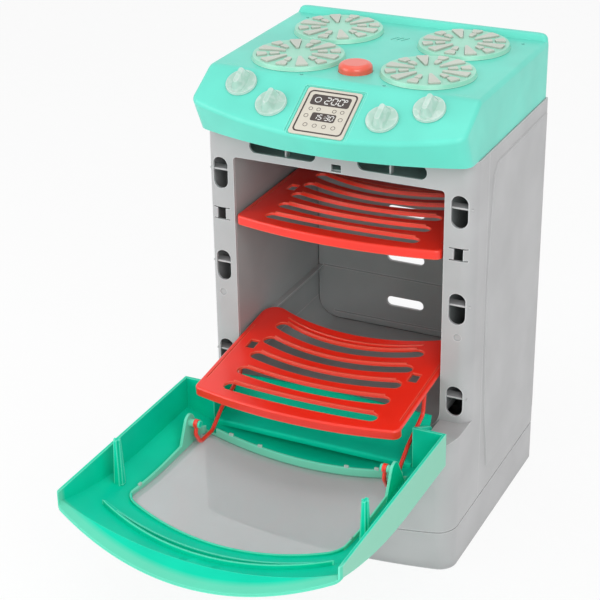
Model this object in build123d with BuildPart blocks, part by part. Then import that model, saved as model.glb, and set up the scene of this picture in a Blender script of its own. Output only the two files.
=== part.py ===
from build123d import *
from math import asin, cos, degrees, radians, sin, sqrt, tan
import os

os.makedirs("parts", exist_ok=True)

# Toy oven, in millimetres. The origin is on the floor, under the middle of the cabinet's front face.
# +X is to the right seen from the front, +Y to the back and +Z up. The door is modelled open.

# ---------------------------------------------------------------- driving dimensions
cabinet_width = 300.0
cabinet_depth = 219.0
wall = 3.0
seat_gap = 0.3            # what rests on or against a neighbour
slide_gap = 0.4           # what slides or turns past a neighbour
pin_gap = 0.06            # radial play of a pin in its bore

plinth_top = 48.5
cabinet_top = 448.4
front_corner_r = 14.0
front_return = 38.0       # how far the front moulding wraps round each side

bow_centre_y = -64.0      # front of the apron in the middle
bow_corner_y = -41.0      # where the bow would meet the side
bow_corner_r = 24.0
foot_bow_centre_y = -57.0
foot_bow_corner_y = -39.0
foot_corner_r = 20.0
apron_top = 112.5
shoulder_top = 158.0
shoulder_inner_x = cabinet_width / 2 - 31.5
shoulder_round = 22.0
shoulder_flat_y = -28.0   # where the shoulder starts to round down to the front

opening_width = cabinet_width - 64.6
opening_bottom = 142.0
opening_top = 416.0
opening_floor_r = 26.0
opening_top_r = 4.0
liner_t = 2.5
cavity_back_y = cabinet_depth - 14.0
back_groove_z = opening_bottom + 9.0
back_groove_pitch = 57.8
back_slot_x = -6.0
back_slot_z = opening_bottom + 35.5
back_slot_pitch = 58.0

column_x = cabinet_width / 2 - 16.5
column_slot_width = 17.5
column_slot_height = 35.0
column_slot_top_z = 396.0
column_slot_pitch = 106.5
column_slot_count = 3
latch_z = 350.0
latch_width = 10.0
latch_height = 13.0
dimple_x = cabinet_width / 2 - 15.0
dimple_z = 257.7
dimple_r = 4.0

vent_inner_x = 23.0
vent_outer_x = opening_width / 2 - 19.2
vent_bottom_z = 424.0
notch_z = opening_top + 5.5
vent_top_z = 439.0

ledge_reach = 7.0         # how far a rack ledge stands out from the liner
ledge_t = 2.5
ledge_front_y = 15.0
ledge_back_y = cavity_back_y - 2.0
ledge_low_z = 208.5
ledge_high_z = 348.7

rack_half_width = opening_width / 2 - 2.2
rack_side_depth = 186.0
rack_t = 3.0
rack_lip = 10.0
rack_front_sag = 13.0
rack_back_sag = 36.0
rack_corner_r = 8.0
rack_back_corner_r = 16.0
rack_slot_width = 14.5
rack_slot_reach = rack_half_width - 36.0
rack_slot_first = 66.6
rack_slot_pitch = 27.2
rack_slot_count = 5
rack_slot_drop = 19.0     # how far the ends of the rearmost slot lie behind its middle
rack_slot_flatten = 3.8   # how much less each next slot is bent
rack_rest_y = -2.5        # front corners of a rack that is pushed in
rack_tilt = 6.0           # nose-down angle of the lower rack when it is out

hinge_y = -31.5
hinge_z = 151.0
hinge_pin_r = 3.0
hinge_pin_end_x = shoulder_inner_x + 7.0
door_half_width = cabinet_width / 2
door_rim_z = 182.0
door_notch_x = shoulder_inner_x - 1.0
door_notch_y = -64.0
door_skin_y = -24.0
door_far_y = -320.0
door_lip_y = -342.0
door_depth = 37.0         # rim to the outer edge of the skin at the sides
door_sag = 29.0           # further bow of the skin in the middle
door_bend_y = -165.0      # where the skin starts to curve up to the far edge
door_bend_r = 480.0
door_crease_y = -319.0    # where the handle lip leaves the skin, in the middle
door_lip_slope = 0.39
door_lip_sag = 27.0
door_ear_r = 13.5
door_end_wall_top = 139.0
rib_height = 5.0
rib_sag = 10.0            # how much further the outer line of the crescent bows
door_far_corner_r = 9.0
rib_side_x = door_half_width - 26.0
rib_side_y = -279.0
rib_centre_y = -295.0
rib_t = 2.0

window_half_width = door_half_width - 35.0
window_near_y = -88.0
window_side_y = -247.0
window_far_y = -268.0
window_flange = 4.0
window_flange_t = 1.2
bead_t = 2.0
bead_far_height = 2.5
bead_tilt = 1.9
post_x = column_x + 0.5
post_y = -230.5
post_top_z = 197.0
post_foot_z = 146.0

link_x = window_half_width - 8.0   # middle plane of a link arm
link_r = 2.2
peg_y = -119.0
peg_z = 162.0
peg_r = 2.5
peg_eye_r = 4.7
peg_plate_t = 2.8
nub_y = -14.5
nub_depth = 93.5          # from the rear corners of the rack forwards to the pin
nub_drop = 4.4            # pin axis below the rack's underside
nub_r = 1.6
nub_eye_r = 3.6
lug_t = 2.9

lid_half_width = cabinet_width / 2 - 1.5
lid_low_z = cabinet_top + seat_gap
lid_back_y = cabinet_depth + 10.0
lid_bow_centre_y = -41.0
lid_bow_corner_y = -13.0
lid_corner_r = 14.0
lid_skirt_lean = 0.5      # how far the front skirt leans out for each millimetre up
lid_back_corner_r = 15.0
lid_edge_r = 5.0
lid_crease_r = 14.0
rim_ramp_run = 4.0
lid_wall = 3.0
deck_z = 510.0
rim_top_z = deck_z + 6.5
rim_front_y = lid_back_y - 12.5
panel_slope = 30.3
panel_crease_y = 12.0

burner_x = lid_half_width - 76.5
burner_front_y = 65.8
burner_r = 49.0
burner_back_y = rim_front_y - burner_r - 1.2    # the ring stops just before the rim
burner_hole_r = 45.0
burner_rise = 4.2
grate_r = 44.0
grate_t = 2.0
petal_rise = 6.4
petal_count = 6
petal_gap = 0.35
petal_near_r = 15.0       # from the burner's centre to the inner tip of a petal
petal_split_r = 31.5
petal_far_r = 43.5

knob_r = 16.5
knob_disc_t = 2.6
knob_grip_rise = 13.0
knob_outer_x = lid_half_width - 46.5
knob_outer_y = -5.6
knob_inner_x = lid_half_width - 88.5
knob_inner_y = -23.2
knob_shaft_r = 4.0
knob_shaft_length = 12.0

display_width = 59.0
display_length = 60.0
display_t = 1.2
display_recess = 1.6
bay_margin = 4.0          # how far the shallow bay round the display reaches past its sides
bay_depth = 0.9
slit_x = 126.5            # thin marks on the deck behind the outer knobs
slit_y = 20.0
display_middle_y = -24.5
button_y = 48.5
button_r = 17.5
button_rise = 9.0
button_travel = 3.0
button_flange_r = 19.5
button_stem_r = 5.0

base_plate_z = lid_low_z + seat_gap
board_z = 489.0
board_t = 1.6
board_width = 64.0
board_depth = 44.0
speaker_r = 18.0
speaker_y = 166.0
speaker_t = 10.0
battery_width = 72.0
battery_depth = 40.0
battery_height = 32.0
screw_r = 2.0
screw_hole_r = 2.15
screw_front_x = 45.0
screw_front_y = 16.5
screw_back_x = lid_half_width - 23.0
screw_back_y = lid_back_y - 29.0
screw_post_r = 3.4
screw_post_gap = 1.0      # from a post's top up to the underside of the deck
back_screw_x = cabinet_width / 2 - 13.0
back_screw_low_z = 70.0
back_screw_high_z = 432.0

# ---------------------------------------------------------------- worked-out places
half_width = cabinet_width / 2
opening_half = opening_width / 2
frame_bottom = plinth_top + seat_gap
deck_under = deck_z - lid_wall
tilt = radians(rack_tilt)
rack_shift_y = nub_y + nub_depth * cos(tilt) - nub_drop * sin(tilt)
rack_shift_z = ledge_low_z + seat_gap - (ledge_front_y - rack_shift_y) * tan(tilt)
nub_z = rack_shift_z - nub_depth * sin(tilt) - nub_drop * cos(tilt)
bend_centre_z = door_rim_z - door_depth + door_bend_r
crease_z = bend_centre_z - sqrt((door_bend_r + door_sag) ** 2 - (door_bend_y - door_crease_y) ** 2)
panel_plane = Plane(
    origin=(0, panel_crease_y, deck_z),
    x_dir=(1, 0, 0),
    z_dir=(0, -sin(radians(panel_slope)), cos(radians(panel_slope))),
)


def export_piece(part, name):
    """Names a finished piece and writes it."""
    part.label = name
    export_step(part, "parts/" + name + ".step")


def down_panel(y):
    """Distance along the sloping panel of a point given by its y."""
    return (y - panel_crease_y) / cos(radians(panel_slope))


def bowed_plan(inset, y_back, centre_y, corner_y, corner_r, edge_x=half_width):
    """Plan with straight sides, rounded front corners and a bowed front."""
    side_x = edge_x - inset
    with BuildSketch() as plan:
        with BuildLine():
            ThreePointArc(
                (-side_x, corner_y + inset),
                (0, centre_y + inset),
                (side_x, corner_y + inset),
            )
            Line((side_x, corner_y + inset), (side_x, y_back))
            Line((side_x, y_back), (-side_x, y_back))
            Line((-side_x, y_back), (-side_x, corner_y + inset))
        make_face()
        front = plan.vertices().sort_by(Axis.Y)[0:2]
        fillet(front, corner_r - inset)
    return plan.sketch


def apron_plan(inset, y_back):
    """Plan of the moulding below the door."""
    return bowed_plan(inset, y_back, bow_centre_y, bow_corner_y, bow_corner_r)


def foot_plan(inset, y_back):
    """Plan of the plinth where it meets the floor."""
    return bowed_plan(inset, y_back, foot_bow_centre_y, foot_bow_corner_y, foot_corner_r)


def column_plan(inset, y_back):
    """Plan of the cabinet's box: a rectangle with rounded front corners."""
    with BuildSketch() as plan:
        with Locations((0, (y_back + inset) / 2)):
            Rectangle(cabinet_width - 2 * inset, y_back - inset)
        fillet(plan.vertices().sort_by(Axis.Y)[0:2], front_corner_r - inset)
    return plan.sketch


# ---------------------------------------------------------------- base plinth
with BuildPart() as base_plinth:
    with BuildSketch():
        add(foot_plan(0, cabinet_depth))
    with BuildSketch(Plane.XY.offset(plinth_top)):
        add(apron_plan(0, cabinet_depth))
    loft()
with BuildPart() as plinth_room:
    with BuildSketch(Plane.XY.offset(wall)):
        add(foot_plan(wall, cabinet_depth - wall))
    with BuildSketch(Plane.XY.offset(plinth_top + wall)):
        add(apron_plan(wall, cabinet_depth - wall))
    loft()
with BuildPart() as base_plinth_hollow:
    add(base_plinth.part)
    add(plinth_room.part, mode=Mode.SUBTRACT)
    # shadow groove where the cabinet meets the plinth
    with BuildSketch(Plane.XY.offset(plinth_top - 1.5)):
        add(apron_plan(-5.0, cabinet_depth + 5.0))
        add(apron_plan(0.9, cabinet_depth - 0.9), mode=Mode.SUBTRACT)
    extrude(amount=1.5, mode=Mode.SUBTRACT)
export_piece(base_plinth_hollow.part, "base_plinth")


# ---------------------------------------------------------------- front frame
def shoulders(inset):
    """Both shoulders that carry the hinge pins, beside the foot of the door."""
    top_z = shoulder_top - inset
    with BuildPart() as both:
        with BuildSketch(Plane.XY.offset(frame_bottom)):
            add(apron_plan(inset, front_corner_r + inset))
            with Locations((0, 0)):
                Rectangle(2 * (shoulder_inner_x + inset), 4 * half_width, mode=Mode.SUBTRACT)
        extrude(amount=top_z - frame_bottom)
        with BuildSketch(Plane.YZ) as trim:
            with Locations((shoulder_flat_y - 50, top_z)):
                Rectangle(100, 2 * shoulder_round)
            with Locations((shoulder_flat_y, top_z - shoulder_round)):
                Circle(shoulder_round, mode=Mode.SUBTRACT)
        extrude(amount=2 * half_width, both=True, mode=Mode.SUBTRACT)
    return both.part


with BuildPart() as front_frame:
    with BuildSketch(Plane.XY.offset(frame_bottom)):
        add(column_plan(0, front_return))
        add(column_plan(wall, front_return + wall), mode=Mode.SUBTRACT)
    extrude(amount=cabinet_top - frame_bottom)
    with BuildSketch(Plane.XY.offset(frame_bottom)):
        add(apron_plan(0, front_corner_r))
    extrude(amount=apron_top - frame_bottom)
    add(shoulders(0))
    # the apron and the shoulders are hollow from below
    with BuildSketch(Plane.XY.offset(frame_bottom)):
        add(apron_plan(wall, front_return))
    extrude(amount=apron_top - wall - frame_bottom, mode=Mode.SUBTRACT)
    add(shoulders(wall), mode=Mode.SUBTRACT)
    # oven opening
    with BuildSketch(Plane.XZ.offset(-2 * wall)) as opening:
        with Locations((0, (opening_bottom + opening_top) / 2)):
            Rectangle(opening_width, opening_top - opening_bottom)
        fillet(opening.vertices().sort_by(Axis.Y)[0:2], opening_floor_r)
        fillet(opening.vertices().sort_by(Axis.Y)[-2:], opening_top_r)
    extrude(amount=4 * wall, mode=Mode.SUBTRACT)
    # stadium slots, latch holes and their relief slits in the columns
    with BuildSketch(Plane.XZ.offset(-2 * wall)):
        for level in range(column_slot_count):
            slot_z = column_slot_top_z - level * column_slot_pitch
            with Locations((-column_x, slot_z), (column_x, slot_z)):
                SlotOverall(column_slot_height, column_slot_width, rotation=90)
        with Locations((-column_x, latch_z), (column_x, latch_z)):
            Rectangle(latch_width, latch_height)
        for slit_z in (latch_z - latch_height / 2, latch_z + latch_height / 2):
            with Locations((-column_x, slit_z), (column_x, slit_z)):
                Rectangle(2 * latch_width, 1.2)
        # vent slots and catch notch in the top beam
        for side in (-1, 1):
            slot_x = side * (vent_inner_x + vent_outer_x) / 2
            with Locations((slot_x, (vent_bottom_z + vent_top_z) / 2)):
                SlotOverall(vent_outer_x - vent_inner_x, vent_top_z - vent_bottom_z)
        with Locations((0, notch_z)):
            Rectangle(10.8, 8.0)
    extrude(amount=4 * wall, mode=Mode.SUBTRACT)
    # round dimples
    with BuildSketch(Plane.XZ.offset(-1.0)):
        with Locations((-dimple_x, dimple_z), (dimple_x, dimple_z)):
            Circle(dimple_r)
    extrude(amount=2.0, mode=Mode.SUBTRACT)
    # ribs behind the column slots and behind the vent slots
    for side in (-1, 1):
        rib_x = side * (opening_half + liner_t + half_width - wall) / 2
        for level in range(column_slot_count):
            rib_z = column_slot_top_z - level * column_slot_pitch + 3.0
            with Locations((rib_x, wall, rib_z)):
                Box(
                    half_width - wall - opening_half - liner_t, 12.0, 1.8,
                    align=(Align.CENTER, Align.MIN, Align.CENTER),
                )
        with Locations((side * 58.0, wall, (vent_bottom_z + vent_top_z) / 2 + 1.0)):
            Box(1.8, 8.0, vent_top_z - vent_bottom_z + 4.0, align=(Align.CENTER, Align.MIN, Align.CENTER))
    # bores for the door's hinge pins, with a boss behind each
    for side in (-1, 1):
        with BuildSketch(Plane.YZ.offset(side * shoulder_inner_x)):
            with Locations((hinge_y, hinge_z)):
                Circle(hinge_pin_r + 3.0)
        extrude(amount=side * (hinge_pin_end_x + 2.0 - shoulder_inner_x))
        with BuildSketch(Plane.YZ.offset(side * (shoulder_inner_x - 1.0))):
            with Locations((hinge_y, hinge_z)):
                Circle(hinge_pin_r + pin_gap)
        extrude(amount=side * (hinge_pin_end_x + 0.5 - shoulder_inner_x + 1.0), mode=Mode.SUBTRACT)
export_piece(front_frame.part, "front_frame")

# ---------------------------------------------------------------- side panels
panel_front_y = front_return + seat_gap
field_back_y = cabinet_depth - 3.0
field_low_z = plinth_top + 22.5
field_top_z = cabinet_top - 15.4
field_foot = (front_return + 22.0, field_low_z + 5.0)
field_knee = (front_return + 9.0, field_low_z + 75.0)
field_waist = (front_return + 3.5, (field_low_z + field_top_z) / 2 + 48.0)
field_shoulder = (front_return + 14.0, field_top_z - 14.0)
field_head = (front_return + 26.0, field_top_z - 2.0)


def side_panel(side):
    """One side: a flat sheet with a slightly raised field inside a soft border."""
    with BuildPart() as panel:
        with BuildSketch(Plane.YZ.offset(side * (half_width - wall))):
            with Locations(((panel_front_y + cabinet_depth) / 2, (frame_bottom + cabinet_top) / 2)):
                Rectangle(cabinet_depth - panel_front_y, cabinet_top - frame_bottom)
        extrude(amount=side * wall)
        with BuildSketch(Plane.YZ.offset(side * half_width)):
            with BuildLine():
                Line(field_foot, field_knee)
                ThreePointArc(field_knee, field_waist, field_shoulder)
                Line(field_shoulder, field_head)
                Line(field_head, (field_back_y, field_top_z))
                Line((field_back_y, field_top_z), (field_back_y, field_low_z))
                Line((field_back_y, field_low_z), field_foot)
            make_face()
        extrude(amount=side * 1.5, taper=35)
        # lug that takes the screws of the back panel
        for lug_z in (back_screw_low_z, back_screw_high_z):
            with Locations((side * (half_width - wall), cabinet_depth - wall - seat_gap, lug_z)):
                Box(
                    15.0, 12.0, 10.0,
                    align=(Align.MAX if side > 0 else Align.MIN, Align.MAX, Align.CENTER),
                )
            with BuildSketch(Plane.XZ.offset(-cabinet_depth)):
                with Locations((side * back_screw_x, lug_z)):
                    Circle(screw_hole_r)
            extrude(amount=wall + 10.0, mode=Mode.SUBTRACT)
    return panel.part


export_piece(side_panel(-1), "side_panel_left")
export_piece(side_panel(1), "side_panel_right")

# ---------------------------------------------------------------- back panel
back_half = half_width - wall - seat_gap
pan_height = opening_top - opening_bottom - 2.0
pan_mid_z = (opening_bottom + opening_top) / 2
with BuildPart() as back_panel:
    with BuildSketch(Plane.XZ.offset(-cabinet_depth)):
        with Locations((0, (frame_bottom + cabinet_top) / 2)):
            Rectangle(2 * back_half, cabinet_top - frame_bottom)
    extrude(amount=wall)
    # the middle is pressed in towards the oven and carries grooves and slots
    with BuildSketch(Plane.XZ.offset(-cabinet_depth)) as pan:
        with Locations((0, pan_mid_z)):
            Rectangle(opening_width - 2.0, pan_height)
        fillet(pan.vertices(), 24.0)
    extrude(amount=cabinet_depth - cavity_back_y)
    with BuildSketch(Plane.XZ.offset(-cabinet_depth)) as pan_inside:
        with Locations((0, pan_mid_z)):
            Rectangle(opening_width - 2.0 - 2 * wall, pan_height - 2 * wall)
        fillet(pan_inside.vertices(), 24.0 - wall)
    extrude(amount=cabinet_depth - cavity_back_y - wall, mode=Mode.SUBTRACT)
    with BuildSketch(Plane.XZ.offset(-cavity_back_y - 1.2)):
        for level in range(5):
            with Locations((0, back_groove_z + back_groove_pitch * level)):
                Rectangle(opening_width - 12.0 if level else opening_width - 40.0, 2.0)
    extrude(amount=2.0, mode=Mode.SUBTRACT)
    with BuildSketch(Plane.XZ.offset(-cavity_back_y - 2 * wall)):
        for level in range(4):
            with Locations((back_slot_x, back_slot_z + back_slot_pitch * level)):
                SlotOverall(46.0, 12.0)
    extrude(amount=4 * wall, mode=Mode.SUBTRACT)
    with BuildSketch(Plane.XZ.offset(-cabinet_depth)):
        for lug_z in (back_screw_low_z, back_screw_high_z):
            with Locations((-back_screw_x, lug_z), (back_screw_x, lug_z)):
                Circle(screw_hole_r)
    extrude(amount=wall, mode=Mode.SUBTRACT)
export_piece(back_panel.part, "back_panel")

with BuildPart() as back_screws:
    with BuildSketch(Plane.XZ.offset(-cabinet_depth - seat_gap)) as heads:
        for lug_z in (back_screw_low_z, back_screw_high_z):
            with Locations((-back_screw_x, lug_z), (back_screw_x, lug_z)):
                Circle(2 * screw_r)
    extrude(amount=-2.0)
    with BuildSketch(Plane.XZ.offset(-cabinet_depth - seat_gap)):
        for lug_z in (back_screw_low_z, back_screw_high_z):
            with Locations((-back_screw_x, lug_z), (back_screw_x, lug_z)):
                Circle(screw_r)
    extrude(amount=12.0)
export_piece(back_screws.part, "back_screws")

# ---------------------------------------------------------------- oven cavity
liner_bottom = opening_bottom + opening_floor_r
liner_front = wall + seat_gap
liner_back = cavity_back_y - seat_gap
liner_depth = liner_back - liner_front


def liner(side):
    """Side wall of the oven with the two ledges that carry the racks."""
    inward = Align.MIN if side > 0 else Align.MAX
    outward = Align.MAX if side > 0 else Align.MIN
    with BuildPart() as plate:
        with Locations((side * opening_half, liner_front, liner_bottom)):
            Box(
                liner_t, liner_depth, opening_top - liner_bottom,
                align=(inward, Align.MIN, Align.MIN),
            )
        for top_z in (ledge_low_z, ledge_high_z):
            with Locations((side * opening_half, ledge_front_y, top_z)):
                Box(
                    ledge_reach, ledge_back_y - ledge_front_y, ledge_t,
                    align=(outward, Align.MIN, Align.MAX),
                )
        tips = plate.edges().filter_by(Axis.Z).filter_by_position(
            Axis.Y, ledge_front_y - 0.1, ledge_front_y + 0.1
        )
        inner_tips = [e for e in tips if abs(e.center().X) < opening_half - ledge_reach + 0.1]
        fillet(inner_tips, ledge_reach - 1.0)
    return plate.part


export_piece(liner(-1), "liner_left")
export_piece(liner(1), "liner_right")


def trough(inset):
    """Cross-section of the oven's rounded floor, tall enough to be trimmed."""
    with BuildSketch() as section:
        with Locations((0, opening_bottom + inset)):
            Rectangle(opening_width - 2 * inset, 100.0, align=(Align.CENTER, Align.MIN))
        fillet(section.vertices().sort_by(Axis.Y)[0:2], opening_floor_r - inset)
    return section.sketch


with BuildPart() as cavity_floor:
    with BuildSketch(Plane.XZ.offset(-liner_back)):
        add(trough(-liner_t))
        add(trough(0), mode=Mode.SUBTRACT)
        with Locations((0, liner_bottom - seat_gap)):
            Rectangle(2 * opening_width, opening_top, align=(Align.CENTER, Align.MIN), mode=Mode.SUBTRACT)
    extrude(amount=liner_depth)
export_piece(cavity_floor.part, "cavity_floor")

with BuildPart() as cavity_ceiling:
    with Locations((0, liner_front, opening_top + seat_gap)):
        Box(
            opening_width + 2 * liner_t, liner_depth, liner_t,
            align=(Align.CENTER, Align.MIN, Align.MIN),
        )
export_piece(cavity_ceiling.part, "cavity_ceiling")


# ---------------------------------------------------------------- lid with hob and panel
def lid_plan(inset, forward):
    """Plan of the lid at one height."""
    with BuildSketch() as plan:
        add(bowed_plan(
            inset, lid_back_y - inset, lid_bow_centre_y - forward, lid_bow_corner_y - forward,
            lid_corner_r, lid_half_width,
        ))
        fillet(plan.vertices().sort_by(Axis.Y)[-2:], lid_back_corner_r - inset)
    return plan.sketch


def brim_edges(body):
    """Upper edges of a lid body where its top meets the walls around it."""
    across = body.edges().filter_by(Axis.X).filter_by_position(Axis.Y, -300.0, lid_back_y - 1.0)
    return [
        edge for edge in body.edges() - across
        if edge.bounding_box().min.Z > lid_low_z + 1.0
    ]


def lid_block(inset, edge_r=0):
    """Lid body: leaning front skirt, sloping panel, level deck and raised back rim."""
    high_z = rim_top_z + 10.0
    deck = deck_z - inset
    rim = rim_top_z - inset
    crease_y = panel_crease_y + inset * tan(radians(panel_slope / 2))
    rim_y = rim_front_y + inset
    reach = 160.0
    ahead_y = lid_bow_centre_y - (high_z - lid_low_z) * lid_skirt_lean - 23.6 + inset
    with BuildPart() as whole:
        with BuildSketch(Plane.XY.offset(lid_low_z)):
            add(lid_plan(inset, 0))
        with BuildSketch(Plane.XY.offset(high_z)):
            add(lid_plan(inset, (high_z - lid_low_z) * lid_skirt_lean))
        loft(ruled=True)
    with BuildPart() as level_part:
        add(whole.part)
        with BuildSketch(Plane.YZ) as above:
            with BuildLine():
                Polyline(
                    (crease_y - reach, deck - reach * tan(radians(panel_slope))),
                    (crease_y, deck),
                    (lid_back_y + 10, deck),
                    (lid_back_y + 10, high_z + 10),
                    (crease_y - reach, high_z + 10),
                    close=True,
                )
            make_face()
            crease = above.vertices().sort_by_distance((crease_y, deck, 0))[0]
            fillet(crease, lid_crease_r - inset)
        extrude(amount=2 * half_width, both=True, mode=Mode.SUBTRACT)
        if edge_r:
            fillet(brim_edges(level_part.part), edge_r)
    with BuildPart() as rim_part:
        add(whole.part)
        with BuildSketch(Plane.YZ) as before:
            with BuildLine():
                Polyline(
                    (ahead_y, lid_low_z - 5.0),
                    (rim_y - rim_ramp_run * 2, lid_low_z - 5.0),
                    (rim_y - rim_ramp_run * 2, deck - (rim - deck) * 2),
                    (rim_y + rim_ramp_run, rim),
                    (lid_back_y + 10, rim),
                    (lid_back_y + 10, high_z + 10),
                    (ahead_y, high_z + 10),
                    close=True,
                )
            make_face()
            if edge_r:
                fillet(before.vertices().sort_by_distance((rim_y + rim_ramp_run, rim, 0))[0], edge_r)
        extrude(amount=2 * half_width, both=True, mode=Mode.SUBTRACT)
        if edge_r:
            fillet(brim_edges(rim_part.part), edge_r - 1.0)
    with BuildPart() as block:
        add(level_part.part)
        add(rim_part.part)
    return block.part


with BuildPart() as hob_top:
    add(lid_block(0, lid_edge_r))
    add(lid_block(lid_wall), mode=Mode.SUBTRACT)
    with BuildSketch(Plane.XY.offset(lid_low_z - 1)):
        add(lid_plan(lid_wall, 0))
    extrude(amount=2.0, mode=Mode.SUBTRACT)
    # holes for the burners, the button, the screws and the speaker
    with BuildSketch(Plane.XY.offset(deck_z + 1)):
        with Locations(
            (-burner_x, burner_front_y), (burner_x, burner_front_y),
            (-burner_x, burner_back_y), (burner_x, burner_back_y),
        ):
            Circle(burner_hole_r)
        with Locations((0, button_y)):
            Circle(button_r + slide_gap)
        with Locations(
            (-screw_front_x, screw_front_y), (screw_front_x, screw_front_y),
            (-screw_back_x, screw_back_y), (screw_back_x, screw_back_y),
        ):
            Circle(screw_hole_r)
        for slot in range(3):
            with Locations((6.0 * slot - 6.0, speaker_y)):
                SlotOverall(13.0, 2.4, rotation=65)
    extrude(amount=-lid_wall - 3.0, mode=Mode.SUBTRACT)
    with BuildSketch(Plane.XY.offset(deck_z - 0.6)):
        with Locations((-slit_x, slit_y), (slit_x, slit_y)):
            SlotOverall(15.0, 1.0)
    extrude(amount=2.0, mode=Mode.SUBTRACT)
    # shallow bay that runs out over the front lip, recess for the display and bores for the knobs
    bay_top = down_panel(display_middle_y) + display_length / 2 + 2.5
    with BuildSketch(panel_plane) as bay:
        with Locations((0, bay_top)):
            Rectangle(
                display_width + 2 * bay_margin, 2 * display_length,
                align=(Align.CENTER, Align.MAX),
            )
        fillet(bay.vertices().sort_by(Axis.Y)[-2:], 3.0)
    extrude(amount=-bay_depth, mode=Mode.SUBTRACT)
    with BuildSketch(panel_plane):
        with Locations((0, down_panel(display_middle_y))):
            Rectangle(display_width + 3.0, display_length + 3.0)
    extrude(amount=-display_recess, mode=Mode.SUBTRACT)
    with BuildSketch(panel_plane.offset(1.0)):
        with Locations(
            (-knob_outer_x, down_panel(knob_outer_y)), (knob_outer_x, down_panel(knob_outer_y)),
            (-knob_inner_x, down_panel(knob_inner_y)), (knob_inner_x, down_panel(knob_inner_y)),
        ):
            Circle(knob_shaft_r + pin_gap)
    extrude(amount=-lid_wall - 3.0, mode=Mode.SUBTRACT)
    # collar that holds the speaker under its slots
    with BuildSketch(Plane.XY.offset(deck_under)):
        with Locations((0, speaker_y)):
            Circle(speaker_r + seat_gap + 1.8)
            Circle(speaker_r + seat_gap, mode=Mode.SUBTRACT)
    extrude(amount=-speaker_t)
    # opening for the battery cover in the back
    with BuildSketch(Plane.XZ.offset(-lid_back_y - 1)):
        with Locations((0, base_plate_z + 8.0 + battery_height / 2)):
            Rectangle(battery_width + 2 * seat_gap, battery_height + 2 * seat_gap)
    extrude(amount=lid_wall + 2.0, mode=Mode.SUBTRACT)
export_piece(hob_top.part, "hob_top")

plate_lip = lid_wall + seat_gap
post_top = deck_under - screw_post_gap
with BuildPart() as hob_base:
    with BuildSketch(Plane.XY.offset(base_plate_z)):
        add(lid_plan(plate_lip, 0))
    extrude(amount=wall)
    with BuildSketch(Plane.XY.offset(base_plate_z + wall)):
        with Locations(
            (-screw_front_x, screw_front_y), (screw_front_x, screw_front_y),
            (-screw_back_x, screw_back_y), (screw_back_x, screw_back_y),
        ):
            Circle(screw_post_r)
    extrude(amount=post_top - base_plate_z - wall)
    with BuildSketch(Plane.XY.offset(post_top)):
        with Locations(
            (-screw_front_x, screw_front_y), (screw_front_x, screw_front_y),
            (-screw_back_x, screw_back_y), (screw_back_x, screw_back_y),
        ):
            Circle(1.4)
    extrude(amount=-12.0, mode=Mode.SUBTRACT)
    # posts under the circuit board
    with BuildSketch(Plane.XY.offset(base_plate_z + wall)):
        with Locations((0, button_y)):
            with GridLocations(board_width - 10.0, board_depth - 10.0, 2, 2):
                Circle(3.0)
    extrude(amount=board_z - seat_gap - base_plate_z - wall)
export_piece(hob_base.part, "hob_base")

with BuildPart() as hob_screws:
    with BuildSketch(Plane.XY.offset(post_top + seat_gap)):
        with Locations(
            (-screw_front_x, screw_front_y), (screw_front_x, screw_front_y),
            (-screw_back_x, screw_back_y), (screw_back_x, screw_back_y),
        ):
            Circle(screw_r)
    extrude(amount=deck_z - 1.0 - post_top - seat_gap)
    with BuildSketch(Plane.XY.offset(post_top + seat_gap)):
        with Locations(
            (-screw_front_x, screw_front_y), (screw_front_x, screw_front_y),
            (-screw_back_x, screw_back_y), (screw_back_x, screw_back_y),
        ):
            Circle(1.3)
    extrude(amount=-11.0)
export_piece(hob_screws.part, "hob_screws")

# ---------------------------------------------------------------- burners
disc_under = deck_z + seat_gap


def drop_shape(near, near_half, far, far_half, corner, grow):
    """Rounded wedge along +X, narrow at its near end and wide at its far end."""
    with BuildSketch() as drop:
        for end_x, end_half in ((near + corner, near_half), (far - corner, far_half)):
            spread = max(end_half - corner, 0.01)
            with Locations((end_x, spread), (end_x, -spread)):
                Circle(min(corner, end_half) + grow)
        make_hull()
    return drop.sketch


def petal_plan(grow):
    """Raised petals of a burner: long drops between drops that are split in two."""
    long_drop = drop_shape(petal_near_r, 1.6, petal_far_r, 6.2, 1.6, grow)
    split_near = drop_shape(petal_near_r + 5.0, 2.2, petal_split_r - 1.6, 3.4, 1.4, grow)
    split_far = drop_shape(petal_split_r + 1.6, 3.6, petal_far_r, 5.6, 1.6, grow)
    with BuildSketch() as plan:
        for index in range(petal_count):
            turn = 360.0 / petal_count * index
            with Locations(Rotation(0, 0, turn)):
                add(long_drop)
            with Locations(Rotation(0, 0, turn + 180.0 / petal_count)):
                add(split_near)
                add(split_far)
    return plan.sketch


petals = petal_plan(0)
petal_holes = petal_plan(petal_gap)
burner_places = (
    (-burner_x, burner_front_y),
    (burner_x, burner_front_y),
    (-burner_x, burner_back_y),
    (burner_x, burner_back_y),
)
for number, place in enumerate(burner_places, start=1):
    with BuildPart() as disc:
        with BuildSketch(Plane.XY.offset(disc_under)):
            with Locations(place):
                Circle(burner_r)
        extrude(amount=burner_rise, taper=20)
        with BuildSketch(Plane.XY.offset(disc_under)):
            with Locations(place):
                add(petal_holes)
        extrude(amount=burner_rise, mode=Mode.SUBTRACT)
    export_piece(disc.part, "burner_disc_" + str(number))
    with BuildPart() as grate:
        with BuildSketch(Plane.XY.offset(deck_z - grate_t)):
            with Locations(place):
                Circle(grate_r)
        extrude(amount=grate_t)
        with BuildSketch(Plane.XY.offset(deck_z)):
            with Locations(place):
                add(petals)
        extrude(amount=petal_rise)
    export_piece(grate.part, "burner_grate_" + str(number))

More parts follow.
